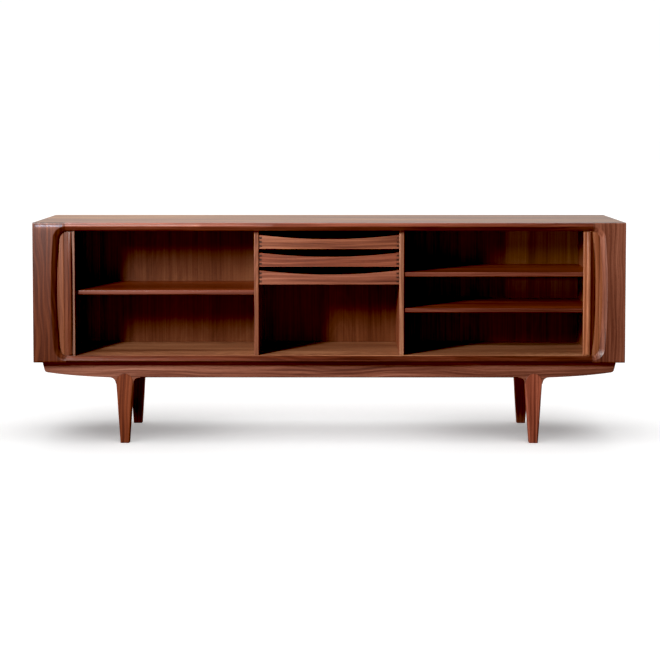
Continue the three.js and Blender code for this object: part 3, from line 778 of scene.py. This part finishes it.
HANDLE_LOW, HANDLE_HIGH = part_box("right_door_handle")
LEAD_LOW, LEAD_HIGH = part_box("right_door_lead_slats")
SLAT_FRONT = LEAD_LOW.y
SLAT_BACK = LEAD_HIGH.y - CANVAS
CANVAS_BACK = LEAD_HIGH.y
CURTAIN_Z = (LEAD_LOW.z, LEAD_HIGH.z)
HANDLE_TIP = HANDLE_LOW.x
TRAVEL = -[j for j in frame["joints"] if j["name"] == "right_door_slide"][0]["range_m"][0]


def rounded_corner(corner, towards, away, radius, steps=4):
    """Points of an arc that rounds a corner between the directions towards and away."""
    corner, towards, away = Vector(corner), Vector(towards), Vector(away)
    centre = corner - towards * radius + away * radius
    points = []
    for k in range(steps + 1):
        angle = k / steps * math.pi / 2
        points.append(centre + towards * radius * math.sin(angle) - away * radius * math.cos(angle))
    return [tuple(p) for p in points]


def handle_section(z, bar, strip):
    """Plan of the handle slat at a height; bar and strip say how far they stand out there."""
    x0 = HANDLE_TIP
    x_strip, x_bar, x_end = x0 + STRIP_WIDTH, x0 + BAR_END, HANDLE_HIGH.x
    strip_y, bar_y = SLAT_FRONT - strip, SLAT_FRONT - bar
    radius = min(BAR_EDGE, 0.48 * (bar + 0.0004))
    inner = min(BAR_QUIRK, 0.48 * abs(strip_y - bar_y) + 0.0001)
    forward, back, out = (0, -1), (0, 1), (1, 0)
    # the flat strip at the tip, the raised bar, and the finger scoop beyond it
    points = [(x0, CANVAS_BACK)]
    points += rounded_corner((x0, strip_y), forward, out, min(STRIP_EDGE, strip * 0.9 + 0.0003))
    points += [(x_strip, strip_y)]
    points += rounded_corner((x_strip, bar_y), forward, out, inner)
    crown = BAR_CROWN if bar > 0.001 else 0.0
    for share in (0.25, 0.5, 0.75):
        x = x_strip + inner + (x_bar - x_strip - inner - radius) * share
        points.append((x, bar_y - crown * (1 - (2 * share - 1) ** 2)))
    points += rounded_corner((x_bar, bar_y), out, back, radius, 6)
    cove = BAR_COVE * min(bar / BAR_BOW, 1.0)
    for share in (0.35, 0.7):
        y = bar_y + radius + (SLAT_FRONT - bar_y - radius) * share
        points.append((x_bar - cove * math.sin(share * math.pi), y))
    points += [(x_bar, SLAT_FRONT)]
    points += rounded_corner((x_end, SLAT_FRONT), out, back, HANDLE_EDGE, 3)
    points += [(x_end, CANVAS_BACK)]
    return [(x, y, z) for x, y in points]


def bar_rise(z):
    """How far the bar stands out at a height: least at its ends and most in the middle."""
    middle, half = (BAR_Z[0] + BAR_Z[1]) / 2, (BAR_Z[1] - BAR_Z[0]) / 2
    t = min(abs(z - middle) / half, 1.0)
    return BAR_RISE + BAR_BOW * (1 - t ** 2.6)


def handle_mesh(name):
    flush = 0.0001
    steps = 56
    rows = [(CURTAIN_Z[0], flush, flush), (BAR_Z[0] - 0.0003, flush, flush)]
    for k in range(steps + 1):
        z = BAR_Z[0] + (BAR_Z[1] - BAR_Z[0]) * k / steps
        rows.append((z, bar_rise(z), STRIP_RISE))
    rows += [(BAR_Z[1] + 0.0003, flush, flush), (CURTAIN_Z[1], flush, flush)]
    return tube(name, [handle_section(*row) for row in rows], 38)


def slat_points(x0, x1):
    """Plan of one slat on its canvas, from x0 to x1: rounded edges and a slightly crowned face."""
    edge = SLAT_EDGE
    low, high = x0 + SLAT_GAP / 2, x1 - SLAT_GAP / 2
    points = [(low, SLAT_BACK), (low, SLAT_FRONT + edge)]
    for share in (0.0, 0.08, 0.3, 0.5, 0.7, 0.92, 1.0):
        lift = edge * 0.35 * (2 * share - 1) ** 6
        x = low + (high - low) * share
        points.append((x, SLAT_FRONT + lift))
    points[2] = (low + edge * 0.4, SLAT_FRONT + edge * 0.42)
    points[8] = (high - edge * 0.4, SLAT_FRONT + edge * 0.42)
    points += [(high, SLAT_FRONT + edge), (high, SLAT_BACK)]
    return points


def gathered(x):
    """Where a point that is at x when the door is shut lies when it is open, on the right door.

    The curtain blends from the carcass at GATHER[0] to the door at GATHER[1], so the slats behind
    the stile lie close together at rest and come out evenly as the door shuts."""
    if x <= GATHER[1] - TRAVEL:
        return x + TRAVEL
    low, high = GATHER[1], GATHER[0]
    for _ in range(60):
        middle = (low + high) / 2
        t = (GATHER[0] - middle) / (GATHER[0] - GATHER[1])
        shut = middle - TRAVEL * t * t * (3 - 2 * t)
        if shut < x:
            low = middle
        else:
            high = middle
    return (low + high) / 2


def curtain_mesh(name):
    """The roll door's slats beyond the handle slat, on their canvas."""
    start = HANDLE_HIGH.x - TRAVEL + JOINT
    count = int((GATHER[0] - start) / SLAT_PITCH)
    plan = []
    for k in range(count):
        plan += slat_points(start + k * SLAT_PITCH, start + (k + 1) * SLAT_PITCH)
    canvas = [(x, CANVAS_BACK) for x in (start + k * SLAT_PITCH for k in range(count, -1, -1))]
    mesh = prism(name, plan + canvas, "Z", CURTAIN_Z, 0.0)
    flat = mesh.uv_layers.new(name="flat")
    for loop in mesh.loops:
        place = mesh.vertices[loop.vertex_index].co
        flat.uv[loop.index].vector = (place.x, place.z)
    for vertex in mesh.vertices:
        vertex.co.x = gathered(vertex.co.x)
    return mesh


def track_point(distance, depth):
    """A point and its outward direction, a distance round the track from the side run's start."""
    inset = SLAT_BACK - FRONT - TRACK["front"]
    radius = TRACK["radius"] - inset
    corner_x = TRACK["side"] - TRACK["radius"]
    start_y = behind(TRACK["front"] + TRACK["radius"])
    end_y = behind(TRACK["back"] - TRACK["radius"])
    straight, quarter = end_y - start_y, radius * math.pi / 2
    if distance < straight:
        return (corner_x + radius + depth, start_y + distance), (1, 0)
    angle = min((distance - straight) / radius, math.pi / 2)
    out = (math.cos(angle), math.sin(angle))
    beyond = max(distance - straight - quarter, 0.0)
    return (corner_x + (radius + depth) * out[0] - beyond, end_y + (radius + depth) * out[1]), out


def stored_mesh(name):
    """The slats that stay in the track, along the side and behind the inner back."""
    thickness = SLAT_BACK - SLAT_FRONT
    face, canvas = [], []
    for k in range(STORED_SLATS):
        ends = (k * SLAT_PITCH + SLAT_GAP, (k + 1) * SLAT_PITCH)
        _, out = track_point(sum(ends) / 2, 0.0)
        for end, bevel in ((ends[0], 1), (ends[1], -1)):
            (x, y), own = track_point(end, 0.0)
            outer = (x + out[0] * thickness, y + out[1] * thickness)
            face += [(x, y), outer] if bevel > 0 else [outer, (x, y)]
            canvas.append((x - own[0] * CANVAS, y - own[1] * CANVAS))
    return prism(name, face + canvas[::-1], "Z", CURTAIN_Z, 0.0)


def make_doors():
    handle = handle_mesh("right_handle")
    curtain = curtain_mesh("right_curtain")
    stored = stored_mesh("right_stored_curtain")
    strip_end = HANDLE_TIP + STRIP_WIDTH - 0.0001
    for side, word in SIDES:
        door = f"{word}_door"
        meshes = [handle, curtain, stored]
        if side < 0:
            meshes = [mirrored_mesh(m, m.name.replace("right", "left")) for m in meshes]
        piece(f"{word}_handle", meshes[0], walnut(f"{word}_handle"), door, [f"{door}_handle"])
        second_wood(meshes[0], walnut(f"{word}_strip"),
                    lambda centre, normal: abs(centre.x) < strip_end)
        shown_wood = walnut(f"{word}_slats", laid_flat=True)
        shown = piece(f"{word}_curtain", meshes[1], shown_wood, None,
                      [f"{door}_lead_slats"], weighted=False)
        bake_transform(shown)
        piece(f"{word}_stored_curtain", meshes[2], walnut(f"{word}_slats"), "carcass",
              [f"{door}_curtain"])


# ---- leg base

RAIL_LOW, RAIL_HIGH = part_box("front_base_rail")


def tongue(grow, steps=40):
    """Front view of a leg's round head, from its right shoulder over the top to its left one."""
    half = LEG_PROFILE[-1][1] / 2 + grow
    centre = TONGUE_TOP + grow - half
    angles = [k / steps * math.pi for k in range(steps + 1)]
    return [(LEG_X + half * math.cos(angle), centre + half * math.sin(angle)) for angle in angles]


def curve(a, b, c, steps):
    """Points of a quadratic curve after its first point."""
    points = []
    for k in range(1, steps + 1):
        t = k / steps
        points.append(tuple(
            (1 - t) ** 2 * a[i] + 2 * t * (1 - t) * b[i] + t * t * c[i] for i in (0, 1)))
    return points


def rail_outline():
    """Front view of a base rail: it swells into a horn each side of a leg and thins to its ends."""
    half = LEG_PROFILE[-1][1] / 2 + JOINT
    inner, outer = LEG_X - half, LEG_X + half
    horn = RAIL_BOTTOM - FILLET + 0.004
    top = RAIL_HIGH.z
    right = [(inner - FILLET, RAIL_BOTTOM)]
    right += curve(right[-1], (inner - 0.003, RAIL_BOTTOM), (inner - 0.0015, horn), 14)
    right += [(inner, horn)]
    right += [(x, z) for x, z in reversed(tongue(JOINT)) if z > horn]
    right += [(outer, horn), (outer + 0.0015, horn)]
    right += curve(right[-1], (outer + 0.003, RAIL_BOTTOM),
                   (outer + FILLET, RAIL_BOTTOM + 0.001), 14)
    end = (RAIL_HIGH.x - RAIL_END_TAPER, RAIL_END_BOTTOM)
    bend = (outer + (RAIL_HIGH.x - outer) * 0.6, RAIL_BOTTOM + 0.006)
    right += curve(right[-1], bend, (end[0] - 0.008, end[1] - 0.002), 24)
    right += curve(right[-1], end, (end[0] + 0.002, end[1] + 0.007), 6)
    right += [(RAIL_HIGH.x, top)]
    left = [(-x, z) for x, z in reversed(right)]
    return right + left


def leg_size(z):
    """Width and depth of a leg at a height, taken from its profile."""
    for (z0, w0, d0), (z1, w1, d1) in zip(LEG_PROFILE, LEG_PROFILE[1:]):
        if z <= z1:
            t = (z - z0) / (z1 - z0)
            return w0 + (w1 - w0) * t, d0 + (d1 - d0) * t
    return LEG_PROFILE[-1][1:]


def leg_ring(z, width, depth, radius, inset=0.0):
    """Rounded rectangle across the leg, its face in the plane of the rail's face."""
    x = (LEG_X - width / 2 + inset, LEG_X + width / 2 - inset)
    y = (RAIL_LOW.y + inset, RAIL_LOW.y + depth - inset)
    points = []
    corners = ((x[1], y[0], -90), (x[1], y[1], 0), (x[0], y[1], 90), (x[0], y[0], 180))
    reach = min(radius, (x[1] - x[0]) * 0.45)
    for cx, cy, start in corners:
        centre_x = cx - reach if cx == x[1] else cx + reach
        centre_y = cy - radius if cy == y[1] else cy + radius
        for k in range(7):
            angle = math.radians(start + 15 * k)
            points.append((centre_x + reach * math.cos(angle),
                           centre_y + radius * math.sin(angle), z))
    return points


def leg_mesh(name):
    """The right front leg: a tapered shaft, and a round head that is let into the rail."""
    rings = []
    width, depth = leg_size(0.0)
    for k in range(3, -1, -1):
        angle = k / 3 * math.pi / 2
        rings.append(leg_ring(FOOT_EDGE * (1 - math.sin(angle)), width, depth, LEG_EDGE * 0.8,
                              FOOT_EDGE * (1 - math.cos(angle))))
    shoulder = LEG_PROFILE[-1][0]
    for k in range(1, 31):
        z = FOOT_EDGE + (shoulder - FOOT_EDGE) * k / 30
        width, depth = leg_size(z)
        fade = max(z - LEG_EDGE_TOP, 0.0) / (shoulder - LEG_EDGE_TOP)
        rings.append(leg_ring(z, width, depth, LEG_EDGE + (HEAD_EDGE - LEG_EDGE) * fade))
    half = LEG_PROFILE[-1][1] / 2
    centre = TONGUE_TOP - half
    width, depth = leg_size(shoulder)
    head_step = math.radians(3.7)
    for k in range(1, 25):
        angle = k * head_step
        rings.append(leg_ring(centre + half * math.sin(angle), 2 * half * math.cos(angle), depth,
                              HEAD_EDGE))
    shaft = tube(name, rings, 40)
    _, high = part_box("front_right_leg")
    block = rounded_box(name + "_block", (LEG_X - half + 0.001, RAIL_HIGH.y + JOINT, shoulder),
                        (LEG_X + half - 0.001, RAIL_LOW.y + depth, high.z), HEAD_BLOCK_EDGE)
    return united(shaft, block, name)


def united(a, b, name):
    """Boolean union of two closed meshes."""
    first = bpy.data.objects.new(name + "_a", a)
    second = bpy.data.objects.new(name + "_b", b)
    for obj in (first, second):
        bpy.context.scene.collection.objects.link(obj)
    modifier = first.modifiers.new("join", "BOOLEAN")
    modifier.operation = "UNION"
    modifier.solver = "EXACT"
    modifier.object = second
    graph = bpy.context.evaluated_depsgraph_get()
    bm = opened(first.evaluated_get(graph).to_mesh())
    for obj in (first, second):
        bpy.data.objects.remove(obj)
    bmesh.ops.remove_doubles(bm, verts=bm.verts, dist=1e-6)
    return finish_mesh(bm, name, 35)


def chamfer_rail(mesh, reach):
    """Chamfers the rail's underside between its legs, out to reach each side of the middle."""
    middle = (RAIL_LOW.y + RAIL_HIGH.y) / 2
    bm = opened(mesh)
    split_at(bm, (0, 0, RAIL_BOTTOM + RAIL_CHAMFER), (0, 0, 1))
    split_at(bm, (reach, 0, 0), (1, 0, 0))
    split_at(bm, (-reach, 0, 0), (1, 0, 0))
    for vertex in bm.verts:
        if abs(vertex.co.z - RAIL_BOTTOM) < RAIL_EDGE / 2 and abs(vertex.co.x) < reach + 0.0001:
            vertex.co.y += math.copysign(RAIL_CHAMFER, middle - vertex.co.y)
    bm.to_mesh(mesh)
    bm.free()


def make_base():
    reach = LEG_X - LEG_PROFILE[-1][1] / 2 - JOINT - FILLET
    rail = prism("front_rail", rail_outline(), "Y", (RAIL_LOW.y, RAIL_HIGH.y), RAIL_EDGE, 30)
    chamfer_rail(rail, reach)
    rear = mirrored_mesh(rail, "rear_rail", (1, -1, 1))
    painted_shade_wood = walnut("base_rail_edge")
    for row, mesh in (("front", rail), ("rear", rear)):
        piece(f"{row}_rail", mesh, walnut(f"{row}_rail"), "carcass",
              [f"{row}_base_rail"])
        # the chamfer under the rail between the legs is painted dark: painted shade
        second_wood(mesh, painted_shade_wood, lambda centre, normal: abs(centre.x) < reach
                    and centre.z < RAIL_BOTTOM + RAIL_CHAMFER)
    leg = leg_mesh("front_right_leg_wood")
    for row, sign_y in (("front", 1), ("rear", -1)):
        for side, word in SIDES:
            node = f"{row}_{word}_leg"
            turned = mirrored_mesh(leg, node + "_wood", (side, sign_y, 1))
            piece(node + "_wood", turned, walnut(node), "carcass", [node])
    cross_wood = walnut("cross_rail")
    for _, word in SIDES:
        boxed(f"{word}_cross_rail", cross_wood, PANEL_EDGE)


# ---- stage, light and camera

def make_floor():
    """A pale floor that the camera sees as white; the light that it throws back is dim and warm."""
    bpy.ops.mesh.primitive_plane_add(size=FLOOR_SIZE)
    floor = bpy.context.object
    floor.name = "floor"
    material = bpy.data.materials.new("floor_paint")
    material.use_nodes = True
    tree = material.node_tree
    shader = tree.nodes["Principled BSDF"]
    shader.inputs["Base Color"].default_value = FLOOR_PAINT
    shader.inputs["Roughness"].default_value = 0.9
    shader.inputs["Specular IOR Level"].default_value = 0.0
    shader.inputs["Emission Color"].default_value = (1, 1, 1, 1)
    shader.inputs["Emission Strength"].default_value = FLOOR_GLOW
    dim = new_node(tree, "ShaderNodeBsdfDiffuse")
    dim.inputs["Color"].default_value = FLOOR_BOUNCE
    path = new_node(tree, "ShaderNodeLightPath")
    mix = new_node(tree, "ShaderNodeMixShader")
    tree.links.new(path.outputs["Is Camera Ray"], mix.inputs[0])
    tree.links.new(dim.outputs[0], mix.inputs[1])
    tree.links.new(shader.outputs[0], mix.inputs[2])
    tree.links.new(mix.outputs[0], tree.nodes["Material Output"].inputs["Surface"])
    floor.data.materials.append(material)


def only_for(light, name, included):
    """The light falls on the named object only, or on all but that object."""
    group = bpy.data.collections.new(light.name + "_receivers")
    group.objects.link(bpy.data.objects[name])
    group.collection_objects[0].light_linking.link_state = "INCLUDE" if included else "EXCLUDE"
    light.light_linking.receiver_collection = group


def add_light(name, kind, place, target, watts):
    """A light at place that points at target."""
    data = bpy.data.lights.new(name, kind)
    data.energy = watts
    light = bpy.data.objects.new(name, data)
    bpy.context.scene.collection.objects.link(light)
    light.location = place
    aim = Vector(target) - light.location
    light.rotation_euler = aim.to_track_quat("-Z", "Y").to_euler()
    return light


def area_light(name, place, target, size, watts, spread=180):
    light = add_light(name, "AREA", place, target, watts)
    light.data.spread = math.radians(spread)
    light.data.shape = "RECTANGLE"
    light.data.size, light.data.size_y = size
    light.visible_camera = False
    return light


def make_lights():
    for row in STUDIO_LIGHTS:
        only_for(area_light(*row), "floor", False)
    for row, colour, receiver in ACCENT_LIGHTS:
        light = area_light(*row)
        light.data.color = colour
        only_for(light, receiver, True)
    glow = add_light("upper_right_glow", "SPOT", GLOW["place"], GLOW["target"], GLOW["watts"])
    glow.data.spot_size = math.radians(GLOW["cone"])
    glow.data.spot_blend = GLOW["blend"]
    glow.data.shadow_soft_size = GLOW["size"]
    glow.data.color = GLOW["colour"]
    only_for(glow, "inner_back_wood", True)
    sun = add_light("floor_sun", "SUN", (0, 0, 0), (0, 0, -1), SUN["strength"])
    sun.data.angle = math.radians(SUN["angle"])
    sun.rotation_euler = (math.radians(SUN["tilt"]), 0, 0)
    only_for(sun, "floor", True)


def make_world():
    """White to the camera, and next to no light on the object."""
    world = bpy.data.worlds.new("studio")
    bpy.context.scene.world = world
    world.use_nodes = True
    tree = world.node_tree
    background = tree.nodes["Background"]
    background.inputs["Color"].default_value = (1, 1, 1, 1)
    path = new_node(tree, "ShaderNodeLightPath")
    strength = maths(tree, "MULTIPLY_ADD", path.outputs["Is Camera Ray"], 1.0, WORLD_FILL)
    tree.links.new(strength, background.inputs["Strength"])


def make_camera():
    data = bpy.data.cameras.new("camera")
    data.lens = CAMERA["lens"]
    data.sensor_width = CAMERA["sensor"]
    data.shift_y = CAMERA["shift"]
    data.clip_end = 200
    camera = bpy.data.objects.new("camera", data)
    bpy.context.scene.collection.objects.link(camera)
    camera.location = CAMERA["place"]
    camera.rotation_euler = (math.radians(90 + CAMERA["pitch"]), 0, math.radians(CAMERA["turn"]))
    bpy.context.scene.camera = camera


def set_film():
    """A plain view with deep blacks, as in a contrasty print."""
    view = bpy.context.scene.view_settings
    view.view_transform = "Standard"
    view.use_curve_mapping = True
    view.curve_mapping.black_level = (BLACK_LEVEL, BLACK_LEVEL, BLACK_LEVEL)
    view.curve_mapping.update()


set_film()
make_front_frame()
make_carcass()
make_inside()
make_drawers()
make_doors()
make_base()
make_floor()
make_lights()
make_world()
make_camera()
